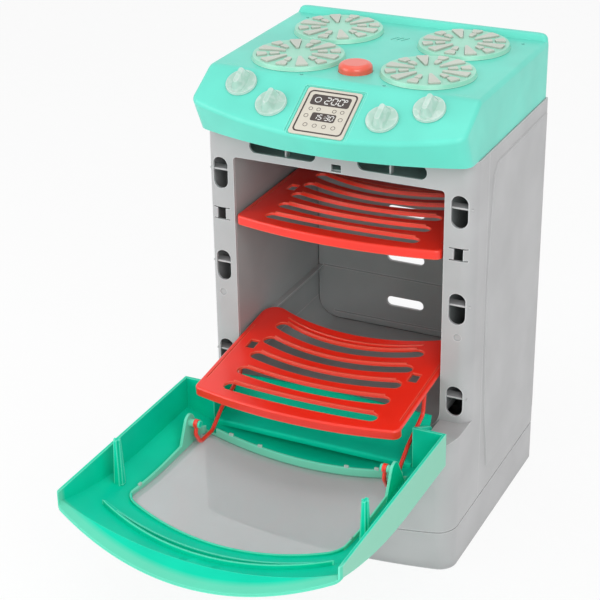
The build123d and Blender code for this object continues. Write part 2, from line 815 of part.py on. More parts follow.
# ---------------------------------------------------------------- panel fittings
with BuildPart() as display_panel:
    with BuildSketch(panel_plane.offset(-display_recess + seat_gap)):
        with Locations((0, down_panel(display_middle_y))):
            RectangleRounded(display_width, display_length, 3.0)
    extrude(amount=display_t)
export_piece(display_panel.part, "display_panel")

knob_places = (
    (-knob_outer_x, knob_outer_y),
    (-knob_inner_x, knob_inner_y),
    (knob_inner_x, knob_inner_y),
    (knob_outer_x, knob_outer_y),
)
for number, (place_x, place_y) in enumerate(knob_places, start=1):
    knob_spot = (place_x, down_panel(place_y))
    with BuildPart() as knob:
        with BuildSketch(panel_plane.offset(slide_gap)):
            with Locations(knob_spot):
                Circle(knob_r)
        extrude(amount=knob_disc_t, taper=12)
        with BuildSketch(panel_plane.offset(slide_gap + knob_disc_t)):
            with Locations(knob_spot):
                SlotOverall(2 * knob_r - 5.0, 14.0, rotation=90)
        extrude(amount=knob_grip_rise - knob_disc_t, taper=23)
        with BuildSketch(panel_plane.offset(slide_gap)):
            with Locations(knob_spot):
                Circle(knob_shaft_r)
        extrude(amount=-knob_shaft_length)
    export_piece(knob.part, "knob_" + str(number))

flange_under = deck_under - seat_gap - 2.5
with BuildPart() as start_button:
    with BuildSketch(Plane.XY.offset(flange_under)):
        with Locations((0, button_y)):
            Circle(button_flange_r)
    extrude(amount=2.5)
    with BuildSketch(Plane.XY.offset(flange_under)):
        with Locations((0, button_y)):
            Circle(button_r)
    extrude(amount=deck_z + button_rise - flange_under)
    fillet(start_button.faces().sort_by(Axis.Z)[-1].edges(), 5.5)
    with BuildSketch(Plane.XY.offset(flange_under)):
        with Locations((0, button_y)):
            Circle(button_r - 2.5)
    extrude(amount=button_rise, mode=Mode.SUBTRACT)
    with BuildSketch(Plane.XY.offset(flange_under - 5.5)):
        with Locations((0, button_y)):
            Circle(button_stem_r)
    extrude(amount=button_rise + 6.0)
export_piece(start_button.part, "start_button")

switch_top = flange_under - 5.5 - button_travel - seat_gap
with BuildPart() as circuit_board:
    with Locations((0, button_y, board_z)):
        Box(board_width, board_depth, board_t, align=(Align.CENTER, Align.CENTER, Align.MIN))
    with Locations((0, button_y, board_z + board_t)):
        Box(8.0, 8.0, switch_top - board_z - board_t, align=(Align.CENTER, Align.CENTER, Align.MIN))
    with Locations((20, button_y + 8, board_z + board_t)):
        Box(14.0, 10.0, 2.5, align=(Align.CENTER, Align.CENTER, Align.MIN))
    with Locations((-20, button_y + 10, board_z + board_t)):
        Cylinder(3.5, 7.0, align=(Align.CENTER, Align.CENTER, Align.MIN))
export_piece(circuit_board.part, "circuit_board")

with BuildPart() as speaker:
    with Locations((0, speaker_y, deck_under - seat_gap)):
        Cylinder(speaker_r, 3.0, align=(Align.CENTER, Align.CENTER, Align.MAX))
        Cylinder(speaker_r - 7.0, speaker_t + 4.0, align=(Align.CENTER, Align.CENTER, Align.MAX))
export_piece(speaker.part, "speaker")

cover_mid_z = base_plate_z + 8.0 + battery_height / 2
with BuildPart() as battery_cover:
    with Locations((0, lid_back_y, cover_mid_z)):
        Box(battery_width, lid_wall, battery_height, align=(Align.CENTER, Align.MAX, Align.CENTER))
    with Locations((0, lid_back_y, cover_mid_z + battery_height / 2 - 5.0)):
        Box(12.0, 1.4, 3.0, align=(Align.CENTER, Align.MAX, Align.CENTER), mode=Mode.SUBTRACT)
export_piece(battery_cover.part, "battery_cover")

box_back_y = lid_back_y - lid_wall - seat_gap
with BuildPart() as battery_box:
    with Locations((0, box_back_y, base_plate_z + wall + seat_gap)):
        Box(
            battery_width + 8.0, battery_depth, battery_height + 8.0,
            align=(Align.CENTER, Align.MAX, Align.MIN),
        )
    with Locations((0, box_back_y, cover_mid_z)):
        Box(
            battery_width - 4.0, battery_depth - 2.0, battery_height - 4.0,
            align=(Align.CENTER, Align.MAX, Align.CENTER), mode=Mode.SUBTRACT,
        )
export_piece(battery_box.part, "battery_box")


# ---------------------------------------------------------------- door
def above_skin(rise):
    """All the room above the door's bowed skin lifted by a distance, and above its handle lip."""
    side_z = door_rim_z - door_depth + rise
    middle_z = side_z - door_sag
    ceiling_z = door_rim_z + 40.0
    lip_start_y = -250.0
    lip_z = crease_z + rise + door_lip_slope * (lip_start_y - door_crease_y)
    with BuildPart() as room:
        with BuildSketch(Plane.XZ.offset(-door_bend_y)) as section:
            with BuildLine():
                ThreePointArc((-half_width, side_z), (0, middle_z), (half_width, side_z))
                Line((half_width, side_z), (half_width, ceiling_z))
                Line((half_width, ceiling_z), (-half_width, ceiling_z))
                Line((-half_width, ceiling_z), (-half_width, side_z))
            make_face()
        extrude(section.sketch.face(), amount=door_bend_y - door_skin_y)
        revolve(
            section.sketch.face(),
            axis=Axis((0, door_bend_y, bend_centre_z), (-1, 0, 0)),
            revolution_arc=24.0,
        )
    with BuildPart() as lip:
        with BuildSketch(Plane.XZ.offset(-lip_start_y)) as lip_section:
            with BuildLine():
                ThreePointArc(
                    (-half_width, lip_z + door_lip_sag),
                    (0, lip_z),
                    (half_width, lip_z + door_lip_sag),
                )
                Line((half_width, lip_z + door_lip_sag), (half_width, lip_z + 90.0))
                Line((half_width, lip_z + 90.0), (-half_width, lip_z + 90.0))
                Line((-half_width, lip_z + 90.0), (-half_width, lip_z + door_lip_sag))
            make_face()
        extrude(lip_section.sketch.face(), amount=120.0, dir=(0, -1, -door_lip_slope))
    with BuildPart() as both:
        add(room.part)
        add(lip.part)
    return both.part


def door_plan(inset, beyond):
    """Plan of the door: notched beside the hinge, arched at the far end."""
    side_x = door_half_width - inset
    notch_x = door_notch_x - inset
    with BuildSketch() as plan:
        with BuildLine():
            Polyline(
                (side_x, door_far_y - beyond),
                (side_x, door_notch_y - inset),
                (notch_x, door_notch_y - inset),
                (notch_x, door_skin_y - inset),
                (-notch_x, door_skin_y - inset),
                (-notch_x, door_notch_y - inset),
                (-side_x, door_notch_y - inset),
                (-side_x, door_far_y - beyond),
            )
            ThreePointArc(
                (-side_x, door_far_y - beyond),
                (0, door_lip_y - beyond),
                (side_x, door_far_y - beyond),
            )
        make_face()
        if not beyond:
            fillet(plan.vertices().sort_by(Axis.Y)[0:2], door_far_corner_r)
    return plan.sketch


def window_plan(inset):
    """Outline of the window: straight near edge, arched far edge."""
    side_x = window_half_width - inset
    with BuildSketch() as plan:
        with BuildLine():
            Polyline(
                (side_x, window_side_y + inset),
                (side_x, window_near_y - inset),
                (-side_x, window_near_y - inset),
                (-side_x, window_side_y + inset),
            )
            ThreePointArc(
                (-side_x, window_side_y + inset),
                (0, window_far_y + inset),
                (side_x, window_side_y + inset),
            )
        make_face()
        fillet(plan.vertices().sort_by(Axis.Y)[0:2], 18.0 - inset)
        fillet(plan.vertices().sort_by(Axis.Y)[-2:], 12.0 - inset)
    return plan.sketch


skin_room = above_skin(0)
inner_room = above_skin(wall)
prism_low_z = 90.0
prism_height = door_rim_z - prism_low_z

with BuildPart() as door_pocket:
    with BuildSketch(Plane.XY.offset(prism_low_z)):
        add(door_plan(wall, 15.0))
    extrude(amount=prism_height + 10.0)
    add(inner_room, mode=Mode.INTERSECT)

with BuildPart() as window_rebate:
    with BuildSketch(Plane.XY.offset(prism_low_z)):
        add(window_plan(0))
    extrude(amount=prism_height)
    add(above_skin(window_flange_t), mode=Mode.INTERSECT)

bead_room = inner_room.moved(Location((0, 0, bead_far_height)))
bead_room = bead_room.rotate(Axis((0, window_far_y, crease_z), (1, 0, 0)), bead_tilt)
with BuildPart() as window_bead:
    with BuildSketch(Plane.XY.offset(prism_low_z)):
        add(window_plan(-bead_t))
        add(window_plan(0), mode=Mode.SUBTRACT)
    extrude(amount=prism_height)
    add(above_skin(1.0), mode=Mode.INTERSECT)
    add(bead_room, mode=Mode.SUBTRACT)
    # gaps where the link arms pass
    for side in (-1, 1):
        with Locations((side * link_x, window_near_y - 2.0, door_rim_z)):
            Box(11.0, 24.0, 2 * (door_rim_z - 134.2), mode=Mode.SUBTRACT)


def rib_band(front_y):
    """Thin band along an arc that ends at the tips of the handle's crescent."""
    with BuildSketch() as band:
        with BuildLine():
            ThreePointArc((-rib_side_x, rib_side_y), (0, front_y), (rib_side_x, rib_side_y))
            Line((rib_side_x, rib_side_y), (rib_side_x - 3.0, rib_side_y + rib_t))
            ThreePointArc(
                (rib_side_x - 3.0, rib_side_y + rib_t),
                (0, front_y + rib_t),
                (-rib_side_x + 3.0, rib_side_y + rib_t),
            )
            Line((-rib_side_x + 3.0, rib_side_y + rib_t), (-rib_side_x, rib_side_y))
        make_face()
    return band.sketch


with BuildPart() as handle_rib:
    with BuildSketch(Plane.XY.offset(prism_low_z)):
        add(rib_band(rib_centre_y))
        add(rib_band(rib_centre_y - rib_sag))
    extrude(amount=prism_height)
    add(above_skin(1.0), mode=Mode.INTERSECT)
    add(inner_room.moved(Location((0, 0, rib_height))), mode=Mode.SUBTRACT)

def link_peg(side):
    """Plate standing beside the window, with the headed peg that a link arm turns on."""
    plate_x = side * window_half_width
    arm_face_x = side * (link_x + link_r + slide_gap)
    head_x = side * (link_x - link_r - slide_gap)
    with BuildPart() as peg:
        with BuildSketch(Plane.YZ.offset(plate_x)):
            with Locations((peg_y, peg_z)):
                Circle(9.0)
            with Locations((peg_y + 1.0, 136.0)):
                Rectangle(46.0, 3.0)
            make_hull()
        extrude(amount=side * peg_plate_t)
        with BuildSketch(Plane.YZ.offset(arm_face_x)):
            with Locations((peg_y, peg_z)):
                Circle(4.2)
        extrude(amount=plate_x - arm_face_x + side * 0.5)
        with BuildSketch(Plane.YZ.offset(head_x - side * 2.0)):
            with Locations((peg_y, peg_z)):
                Circle(peg_r)
        extrude(amount=arm_face_x - head_x + side * 3.0)
        with BuildSketch(Plane.YZ.offset(head_x - side * 2.0)):
            with Locations((peg_y, peg_z)):
                Circle(4.0)
        extrude(amount=side * 2.0)
    return peg.part


with BuildPart() as door_frame:
    with BuildSketch(Plane.XY.offset(prism_low_z)):
        add(door_plan(0, 0))
    extrude(amount=prism_height)
    add(skin_room, mode=Mode.INTERSECT)
    add(door_pocket.part, mode=Mode.SUBTRACT)
    # low wall at the foot, ears beside it and their pins
    with Locations((0, door_notch_y, door_end_wall_top)):
        Box(
            2 * door_notch_x + 1.0, 60.0, 60.0,
            align=(Align.CENTER, Align.MIN, Align.MIN), mode=Mode.SUBTRACT,
        )
    for side in (-1, 1):
        with BuildSketch(Plane.YZ.offset(side * (door_notch_x - wall))):
            with Locations((hinge_y, hinge_z)):
                Circle(door_ear_r)
            with Locations((door_notch_y - 1.5, door_rim_z)):
                Rectangle(2.0, door_rim_z - 133.5, align=(Align.CENTER, Align.MAX))
            make_hull()
        extrude(amount=side * wall)
        with BuildSketch(Plane.YZ.offset(side * (door_notch_x - 1.0))):
            with Locations((hinge_y, hinge_z)):
                Circle(hinge_pin_r)
        extrude(amount=side * (hinge_pin_end_x - door_notch_x + 1.0))
    # window opening with its rebate, bead and rib
    with BuildSketch(Plane.XY.offset(prism_low_z)):
        add(window_plan(window_flange))
    extrude(amount=prism_height, mode=Mode.SUBTRACT)
    add(window_rebate.part, mode=Mode.SUBTRACT)
    add(window_bead.part)
    add(handle_rib.part)
    # latch posts: tapered, with ribs on two sides
    for side in (-1, 1):
        with BuildSketch(Plane.XY.offset(post_foot_z)):
            with Locations((side * post_x, post_y)):
                Rectangle(6.5, 12.0)
        extrude(amount=post_top_z - post_foot_z, taper=1.8)
        with BuildSketch(Plane.XY.offset(post_foot_z)):
            with Locations((side * post_x, post_y)):
                Rectangle(10.0, 5.5)
        extrude(amount=post_top_z - post_foot_z, taper=1.8)
    # plates and pegs that carry the link arms
    for side in (-1, 1):
        add(link_peg(side))
export_piece(door_frame.part, "door_frame")

with BuildPart() as door_window:
    with BuildSketch(Plane.XY.offset(prism_low_z)):
        add(window_plan(seat_gap))
    extrude(amount=prism_height)
    add(above_skin(window_flange_t + seat_gap), mode=Mode.INTERSECT)
    add(inner_room, mode=Mode.SUBTRACT)
export_piece(door_window.part, "door_window")


# ---------------------------------------------------------------- racks
def bar_line(depth, drop, back):
    """Arc along a rack slot's middle, or a distance behind it about the same centre."""
    full_r = (rack_slot_reach**2 + drop**2) / (2 * drop)
    centre_y = full_r - depth
    end_turn = degrees(asin(rack_slot_reach / full_r))
    return CenterArc((0, centre_y), full_r - back, 270.0 - end_turn, 2 * end_turn, mode=Mode.PRIVATE)


def rack():
    """Slotted rack with rear corners at y = 0 and its underside at z = 0."""
    x = rack_half_width
    d = rack_side_depth
    with BuildSketch() as outline:
        with BuildLine():
            ThreePointArc((-x, -d), (0, -d - rack_front_sag), (x, -d))
            Line((x, -d), (x, 0))
            ThreePointArc((x, 0), (0, -rack_back_sag), (-x, 0))
            Line((-x, 0), (-x, -d))
        make_face()
        fillet(outline.vertices().sort_by(Axis.Y)[0:2], rack_corner_r)
        fillet(outline.vertices().sort_by(Axis.Y)[-2:], rack_back_corner_r)
    with BuildSketch() as inner_outline:
        offset(outline.sketch, amount=-rack_t)
    with BuildPart() as sheet:
        with BuildSketch():
            add(outline.sketch)
        extrude(amount=rack_t)
        # turned-down lip along the front
        with BuildSketch():
            add(outline.sketch)
            add(inner_outline.sketch, mode=Mode.SUBTRACT)
            Rectangle(3 * x, 2 * (d - rack_corner_r), mode=Mode.SUBTRACT)
        extrude(amount=-(rack_lip - rack_t))
        top_front = sheet.faces().sort_by(Axis.Z)[-1].edges().sort_by(Axis.Y)[0]
        fillet(top_front, 2.4)
        # arched slots, each with a raised rear edge
        for index in range(rack_slot_count):
            depth = rack_slot_first + rack_slot_pitch * index
            drop = rack_slot_drop - rack_slot_flatten * index
            with BuildSketch():
                SlotArc(bar_line(depth, drop, 0), rack_slot_width)
            extrude(amount=rack_t, mode=Mode.SUBTRACT)
            with BuildSketch(Plane.XY.offset(rack_t)):
                SlotArc(bar_line(depth, drop, rack_slot_width / 2 + 1.3), 1.8)
            extrude(amount=1.6)
        # raised line along the rear edge and fine grooves along the sides
        with BuildSketch(Plane.XY.offset(rack_t)):
            SlotArc(bar_line(rack_back_sag + 14.0, rack_slot_drop, 0), 1.8)
        extrude(amount=0.9)
        with BuildSketch(Plane.XY.offset(rack_t - 0.6)):
            with Locations((-x + 5.5, -d * 0.6), (x - 5.5, -d * 0.6)):
                SlotOverall(d * 0.6, 1.2, rotation=90)
        extrude(amount=2.0, mode=Mode.SUBTRACT)
        # lugs with the pins for the link arms
        for side in (-1, 1):
            lug_x = link_x - link_r - slide_gap
            with BuildSketch(Plane.YZ.offset(side * lug_x)):
                with Locations((-nub_depth, -nub_drop)):
                    Circle(nub_eye_r)
                with Locations((-nub_depth, -nub_drop / 2)):
                    Rectangle(2 * nub_eye_r, nub_drop)
            extrude(amount=-side * lug_t)
            with BuildSketch(Plane.YZ.offset(side * lug_x)):
                with Locations((-nub_depth, -nub_drop)):
                    Circle(nub_r)
            extrude(amount=side * (2 * link_r + 2 * slide_gap))
            with BuildSketch():
                with Locations((side * (lug_x - lug_t - 7.3), -nub_depth + 2.0)):
                    Rectangle(10.0, 16.0)
            extrude(amount=rack_t, mode=Mode.SUBTRACT)
    return sheet.part


plain_rack = rack()
upper_rack = plain_rack.moved(
    Location((0, rack_rest_y + rack_side_depth, ledge_high_z + seat_gap))
)
export_piece(upper_rack, "upper_rack")
lower_rack = plain_rack.moved(
    Location((0, rack_shift_y, rack_shift_z)) * Rotation(rack_tilt, 0, 0)
)
export_piece(lower_rack, "lower_rack")


# ---------------------------------------------------------------- link arms
def link_arm(side):
    """Bent rod from the peg on the door to the pin under the rack."""
    with BuildPart() as arm:
        with BuildLine(Plane.YZ.offset(side * link_x)) as path:
            FilletPolyline(
                (nub_y, nub_z),
                (-19.5, 172.0),
                (-62.0, 154.5),
                (-87.0, 136.8),
                (-113.0, 136.8),
                (-122.5, 151.0),
                (peg_y, peg_z),
                radius=8.0,
            )
        with BuildSketch(Plane(origin=path.line @ 0, z_dir=path.line % 0)):
            Circle(link_r)
        sweep()
        with BuildSketch(Plane.YZ.offset(side * link_x)):
            with Locations((nub_y, nub_z)):
                Circle(nub_eye_r)
            with Locations((peg_y, peg_z)):
                Circle(peg_eye_r)
        extrude(amount=link_r, both=True)
        with BuildSketch(Plane.YZ.offset(side * link_x)):
            with Locations((nub_y, nub_z)):
                Circle(nub_r + pin_gap)
            with Locations((peg_y, peg_z)):
                Circle(peg_r + pin_gap)
        extrude(amount=2 * link_r, both=True, mode=Mode.SUBTRACT)
    return arm.part


export_piece(link_arm(-1), "link_arm_left")
export_piece(link_arm(1), "link_arm_right")
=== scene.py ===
"""Looks of a toy oven: moulded plastics, a clear window, a printed display and soft studio light."""
import math

import bmesh
import bpy
from mathutils import Matrix, Vector


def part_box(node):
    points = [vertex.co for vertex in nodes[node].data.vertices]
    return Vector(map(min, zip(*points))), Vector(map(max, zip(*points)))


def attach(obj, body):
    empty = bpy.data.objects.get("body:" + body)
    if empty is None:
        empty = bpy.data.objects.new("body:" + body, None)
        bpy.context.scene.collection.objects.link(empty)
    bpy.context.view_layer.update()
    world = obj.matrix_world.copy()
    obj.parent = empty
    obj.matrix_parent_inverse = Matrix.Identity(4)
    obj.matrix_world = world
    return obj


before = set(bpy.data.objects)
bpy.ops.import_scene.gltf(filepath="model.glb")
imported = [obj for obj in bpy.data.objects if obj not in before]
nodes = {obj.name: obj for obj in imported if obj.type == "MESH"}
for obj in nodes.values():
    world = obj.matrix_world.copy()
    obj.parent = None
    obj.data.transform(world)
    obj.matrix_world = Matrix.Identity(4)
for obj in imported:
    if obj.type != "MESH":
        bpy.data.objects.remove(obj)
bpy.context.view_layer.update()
scene = bpy.context.scene

MM = 0.001

# ---------------------------------------------------------------- colours, as sRGB 0-255
LID_MINT = (102, 220, 200)
# paler colour painted on thin edges as a highlight
LID_HIGHLIGHT = (152, 242, 224)
DOOR_TEAL = (0, 210, 172)
# paler colour painted on thin edges as a highlight
DOOR_HIGHLIGHT = (120, 246, 214)
# paler door colour, also painted along the lip as a reflection
DOOR_PALE = (142, 212, 186)
GREY = (179, 179, 180)
# paler colour painted on thin edges as a highlight
GREY_HIGHLIGHT = (212, 212, 213)
# the cabinet's grey made darker for the inside: painted shade
CAVITY_SHADED_GREY = (164, 170, 170)
RED = (246, 40, 20)
# paler colour painted on thin edges as a highlight
RED_HIGHLIGHT = (255, 112, 84)
BUTTON_RED = (240, 92, 70)
# paler colour painted on thin edges as a highlight
BUTTON_HIGHLIGHT = (255, 150, 126)
PETAL_BEIGE = (196, 202, 190)
# paler colour painted on thin edges as a highlight
PETAL_HIGHLIGHT = (222, 226, 216)
DISC_GREEN = (152, 222, 196)
# paler colour painted on thin edges as a highlight
DISC_HIGHLIGHT = (196, 240, 222)
KNOB_CLEAR = (190, 226, 212)
# near-white colour painted on as streaks and edge highlights
KNOB_HIGHLIGHT = (244, 250, 247)
CLIP_CLEAR = (176, 206, 196)
# near-white colour painted on as streaks and edge highlights
CLIP_HIGHLIGHT = (226, 236, 232)
MILKY_TINT = (236, 250, 245)
SHEET_SHEEN = (225, 228, 228)
SHEET_TINT = (246, 246, 247)
CREAM = (208, 202, 188)
DARK_BROWN = (50, 36, 30)
PRINT_WHITE = (232, 232, 228)
DARK_GREY = (60, 60, 62)
STEEL = (150, 150, 152)
BOARD_GREEN = (30, 96, 50)
FLOOR = (252, 252, 252)


def linear(rgb):
    """sRGB 0-255 to scene-linear RGBA."""
    out = []
    for value in rgb:
        c = value / 255
        out.append(c / 12.92 if c <= 0.04045 else ((c + 0.055) / 1.055) ** 2.4)
    return (*out, 1.0)


def scaled(rgb, factor):
    """The same colour, lighter or darker."""
    return tuple(max(0.0, min(255.0, v * factor)) for v in rgb)


# ---------------------------------------------------------------- node helpers
NOISE_ROUGH = 0.55
BEVEL_SAMPLES = 4
CORNER_SAMPLES = 4
EDGE_SAMPLES = 6
EDGE_FROM, EDGE_TO, EDGE_FULL = 0.97, 0.45, 0.9


def new_material(name):
    """A node material: (material, nodes, links, output, principled shader, object coordinates)."""
    mat = bpy.data.materials.new(name)
    mat.use_nodes = True
    nd, links = mat.node_tree.nodes, mat.node_tree.links
    nd.clear()
    out = nd.new("ShaderNodeOutputMaterial")
    shader = nd.new("ShaderNodeBsdfPrincipled")
    links.new(shader.outputs["BSDF"], out.inputs["Surface"])
    coords = nd.new("ShaderNodeTexCoord").outputs["Object"]
    return mat, nd, links, out, shader, coords


def noise(nd, links, coords, scale, detail, distortion=0.0):
    """The strength of a noise texture."""
    tex = nd.new("ShaderNodeTexNoise")
    tex.inputs["Scale"].default_value = scale
    tex.inputs["Detail"].default_value = detail
    tex.inputs["Roughness"].default_value = NOISE_ROUGH
    tex.inputs["Distortion"].default_value = distortion
    links.new(coords, tex.inputs["Vector"])
    return tex.outputs["Fac"]


def remapped(nd, links, value, from_min=0.0, from_max=1.0, to_min=0.0, to_max=1.0):
    """A value carried from one range to another and kept inside it."""
    step = nd.new("ShaderNodeMapRange")
    step.inputs["From Min"].default_value = from_min
    step.inputs["From Max"].default_value = from_max
    step.inputs["To Min"].default_value = to_min
    step.inputs["To Max"].default_value = to_max
    links.new(value, step.inputs["Value"])
    return step.outputs["Result"]


def combine(nd, links, operation, first, *others):
    """Values joined two by two by one operation. Those after the first may be plain numbers."""
    result = first
    for value in others:
        step = nd.new("ShaderNodeMath")
        step.operation = operation
        links.new(result, step.inputs[0])
        if isinstance(value, float):
            step.inputs[1].default_value = value
        else:
            links.new(value, step.inputs[1])
        result = step.outputs[0]
    return result


def between(nd, links, value, low, high, soft=0.0003):
    """1 where a value lies between two bounds, else 0."""
    above = remapped(nd, links, value, low - soft, low + soft)
    below = remapped(nd, links, value, high - soft, high + soft, 1.0, 0.0)
    return combine(nd, links, "MINIMUM", above, below)


def mixed(nd, links, factor, first, second):
    """Two colours mixed by a factor. Each is an sRGB colour or another node's output."""
    mix = nd.new("ShaderNodeMix")
    mix.data_type = "RGBA"
    links.new(factor, mix.inputs["Factor"])
    for socket, colour in (("A", first), ("B", second)):
        if isinstance(colour, tuple):
            mix.inputs[socket].default_value = linear(colour)
        else:
            links.new(colour, mix.inputs[socket])
    return mix.outputs["Result"]


def blended(nd, links, factor, first, second):
    """Two shaders blended by a number or another node's output."""
    blend = nd.new("ShaderNodeMixShader")
    if isinstance(factor, float):
        blend.inputs["Fac"].default_value = factor
    else:
        links.new(factor, blend.inputs["Fac"])
    links.new(first, blend.inputs[1])
    links.new(second, blend.inputs[2])
    return blend.outputs["Shader"]


def see_through(nd, tint):
    """A transparent shader that tints what lies behind it."""
    clear = nd.new("ShaderNodeBsdfTransparent")
    clear.inputs["Color"].default_value = linear(tint)
    return clear.outputs["BSDF"]


def soft_normal(nd, radius_mm):
    """A normal that rounds sharp edges off."""
    soften = nd.new("ShaderNodeBevel")
    soften.samples = BEVEL_SAMPLES
    soften.inputs["Radius"].default_value = radius_mm * MM
    return soften.outputs["Normal"]


def edge_highlight_mask(nd, links, width_mm):
    """Close to 1 on thin convex edges, where a paler colour is painted on as a highlight."""
    thin = nd.new("ShaderNodeAmbientOcclusion")
    thin.samples = EDGE_SAMPLES
    thin.inside = True
    thin.only_local = True
    thin.inputs["Distance"].default_value = width_mm * MM
    return remapped(nd, links, thin.outputs["AO"], EDGE_FROM, EDGE_TO, 0.0, EDGE_FULL)


# ---------------------------------------------------------------- kinds of material
PLASTIC_IOR = 1.49
MOTTLE = 0.03
MOTTLE_SCALE = 14.0
MOTTLE_RANGE = (0.3, 0.7)
GLOSS_SCALE = 60.0
SKIN_SCALE = 900.0
SKIN_DEPTH = 0.0006
CORNER_REACH = 0.012
STREAK_SCALE = 110.0
STREAK_RANGE = (0.47, 0.60)
STREAK_FULL = 0.35
MILKY_ROUGH = 0.4
MILKY_EDGE_MM = 1.6
MILKY_BEVEL_MM = 0.5
MILKY_CLEAR = 0.22
SHEET_IOR = 1.45
SHEET_HAZE_SCALE = 22.0
SHEET_ROUGH = 0.06
SHEET_CLEAR = 0.9
SCRATCH_SCALE = 350.0
STEEL_ROUGH = 0.35


def moulded(name, rgb, rough=0.32, grain=0.04, coat=0.25, specular=0.5, edge=0.6, ao=0.0,
            edge_highlight=None, highlight_mm=1.2, paler_places=None):
    """Injection-moulded plastic: faint mottling, orange-peel skin, softened edges and a light gloss.

    edge is the softened edges' radius in millimetres, and ao is how much painted shade darkens corners.
    edge_highlight is the paler colour painted on thin edges as a highlight, highlight_mm wide, and
    paler_places is (colour, mask function) of paler places, one of them a painted reflection.
    """
    mat, nd, links, _, shader, coords = new_material(name)
    cloud = remapped(nd, links, noise(nd, links, coords, MOTTLE_SCALE, 2.0), *MOTTLE_RANGE)
    colour = mixed(nd, links, cloud, scaled(rgb, 1.0 - MOTTLE), scaled(rgb, 1.0 + MOTTLE))
    # corners darkened by ambient occlusion: painted shade
    if ao:
        corners = nd.new("ShaderNodeAmbientOcclusion")
        corners.samples = CORNER_SAMPLES
        corners.inputs["Distance"].default_value = CORNER_REACH
        colour = mixed(nd, links, corners.outputs["AO"], scaled(rgb, 1.0 - ao), colour)
    # paler places of the door, among them a painted reflection along its lip
    if paler_places:
        paler_colour, paler_mask = paler_places
        colour = mixed(nd, links, paler_mask(nd, links, coords), colour, paler_colour)
    # a paler colour painted on thin convex edges as a highlight
    if edge_highlight:
        colour = mixed(nd, links, edge_highlight_mask(nd, links, highlight_mm), colour, edge_highlight)
    links.new(colour, shader.inputs["Base Color"])
    spots = noise(nd, links, coords, GLOSS_SCALE, 4.0)
    gloss = remapped(nd, links, spots, to_min=rough - 0.05, to_max=rough + 0.07)
    links.new(gloss, shader.inputs["Roughness"])
    bump = nd.new("ShaderNodeBump")
    bump.inputs["Strength"].default_value = grain
    bump.inputs["Distance"].default_value = SKIN_DEPTH
    links.new(noise(nd, links, coords, SKIN_SCALE, 2.0), bump.inputs["Height"])
    if edge:
        links.new(soft_normal(nd, edge), bump.inputs["Normal"])
    links.new(bump.outputs["Normal"], shader.inputs["Normal"])
    shader.inputs["Coat Weight"].default_value = coat
    shader.inputs["Coat Roughness"].default_value = 0.18
    shader.inputs["IOR"].default_value = PLASTIC_IOR
    shader.inputs["Specular IOR Level"].default_value = specular
    return mat


def milky(name, rgb, highlight):
    """Clear plastic gone milky, with paler streaks and bright edges painted on as highlights, and a little
    of what lies behind.
    """
    mat, nd, links, out, shader, coords = new_material(name)
    cloud = noise(nd, links, coords, STREAK_SCALE, 1.0, distortion=0.8)
    # paler streaks painted on as highlights in the clear plastic
    streaks = remapped(nd, links, cloud, *STREAK_RANGE, to_max=STREAK_FULL)
    colour = mixed(nd, links, streaks, rgb, highlight)
    # bright edges painted on as a highlight
    colour = mixed(nd, links, edge_highlight_mask(nd, links, MILKY_EDGE_MM), colour, highlight)
    links.new(colour, shader.inputs["Base Color"])
    links.new(combine(nd, links, "MULTIPLY", cloud, MILKY_ROUGH), shader.inputs["Roughness"])
    links.new(soft_normal(nd, MILKY_BEVEL_MM), shader.inputs["Normal"])
    shader.inputs["Coat Weight"].default_value = 0.5
    shader.inputs["Coat Roughness"].default_value = 0.12
    shader.inputs["IOR"].default_value = PLASTIC_IOR
    shader.inputs["Subsurface Weight"].default_value = 0.2
    shader.inputs["Subsurface Radius"].default_value = (0.004, 0.004, 0.004)
    surface = blended(nd, links, MILKY_CLEAR, shader.outputs["BSDF"], see_through(nd, MILKY_TINT))
    links.new(surface, out.inputs["Surface"])
    return mat


def clear_plastic(name, rgb, tint):
    """Thin clear sheet: mostly see-through, glossy, with a faint haze and more sheen at a low angle."""
    mat, nd, links, out, shader, coords = new_material(name)
    haze = noise(nd, links, coords, SHEET_HAZE_SCALE, 3.0)
    gloss = remapped(nd, links, haze, to_min=SHEET_ROUGH, to_max=SHEET_ROUGH + 0.10)
    links.new(gloss, shader.inputs["Roughness"])
    shader.inputs["Base Color"].default_value = linear(rgb)
    shader.inputs["IOR"].default_value = SHEET_IOR
    shader.inputs["Coat Weight"].default_value = 0.3
    facing = nd.new("ShaderNodeLayerWeight")
    facing.inputs["Blend"].default_value = 0.25
    amount = remapped(nd, links, facing.outputs["Fresnel"], to_min=1.0 - SHEET_CLEAR, to_max=0.85)
    surface = blended(nd, links, amount, see_through(nd, tint), shader.outputs["BSDF"])
    links.new(surface, out.inputs["Surface"])
    return mat


def brushed(name, rgb):
    """Plated steel with fine scratches."""
    mat, nd, links, _, shader, coords = new_material(name)
    scratches = noise(nd, links, coords, SCRATCH_SCALE, 4.0)
    gloss = remapped(nd, links, scratches, to_min=STEEL_ROUGH - 0.08, to_max=STEEL_ROUGH + 0.12)
    links.new(gloss, shader.inputs["Roughness"])
    shader.inputs["Base Color"].default_value = linear(rgb)
    shader.inputs["Metallic"].default_value = 1.0
    return mat


# ---------------------------------------------------------------- paler places of the door, and a painted reflection on its lip, in metres
DOOR_LOW, DOOR_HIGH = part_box("door_frame")
LIP_CENTRE_Y = 0.1804
LIP_BAND = 0.010
LIP_SOFT = 0.003
LIP_REFLECTION_SHARE = 0.45
BEAD_Y = -0.0885
BEAD_DEEP = 0.003
BEAD_X = 0.1172
PLATE_X = 0.1080
WINDOW_FRONT_Y = -0.2400
INNER_SHARE = 0.7
SKIN_BAND = 0.0004
FAR_OUT = 1.0


